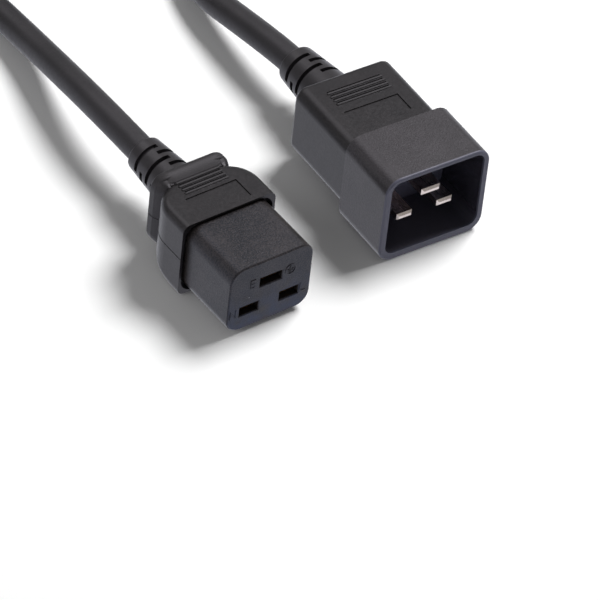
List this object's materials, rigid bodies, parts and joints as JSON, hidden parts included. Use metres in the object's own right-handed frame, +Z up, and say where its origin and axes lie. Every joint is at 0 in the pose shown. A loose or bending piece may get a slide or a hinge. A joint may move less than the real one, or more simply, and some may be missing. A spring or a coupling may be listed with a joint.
{
  "type": "c19 power connector",
  "caption": "Black moulded C19 power connector with a finger grip and a slotted strain relief, on a coiled and tied cord with a C20 plug at its far end.",
  "frame": {"origin": "middle of the connector's length and width, on the surface under it; the cord, the coil, the tie and the plug at the far end don't count", "axes": "-Y out of the mating face, +Y along the strain relief to the cord, +X to the line side's right hand seen from the mating face, +Z up with the earth way on top"},
  "size_m": [0.1162, 0.2695, 0.029],
  "materials": {
    "overmould": "smooth matt dark grey flexible PVC moulding",
    "insert": "fine-textured dark grey rigid plastic",
    "shroud": "fine-textured dark grey rigid plastic",
    "contact": "formed strip, as rolled",
    "pin": "bright nickel plate",
    "copper": "bare stranded copper",
    "core_line": "brown PVC insulation",
    "core_neutral": "blue PVC insulation",
    "core_earth": "green and yellow PVC insulation",
    "cord": "smooth matt black flexible PVC sheath",
    "tie": "black hook-and-loop strap"
  },
  "bodies": {
    "root": {"connector_overmould": "overmould", "connector_insert": "insert", "insert_cap": "insert", "contact_line": "contact", "contact_neutral": "contact", "contact_earth": "contact", "core_line": "core_line", "core_neutral": "core_neutral", "core_earth": "core_earth", "strands_line": "copper", "strands_neutral": "copper", "strands_earth": "copper", "plug_overmould": "overmould", "plug_shroud": "shroud", "plug_pin_line": "pin", "plug_pin_neutral": "pin", "plug_pin_earth": "pin", "plug_core_line": "core_line", "plug_core_neutral": "core_neutral", "plug_core_earth": "core_earth", "plug_strands_line": "copper", "plug_strands_neutral": "copper", "plug_strands_earth": "copper", "cord_connector_run": "cord", "cord_coil": "cord", "cord_plug_run": "cord", "coil_tie": "tie"}
  },
  "joints": []
}
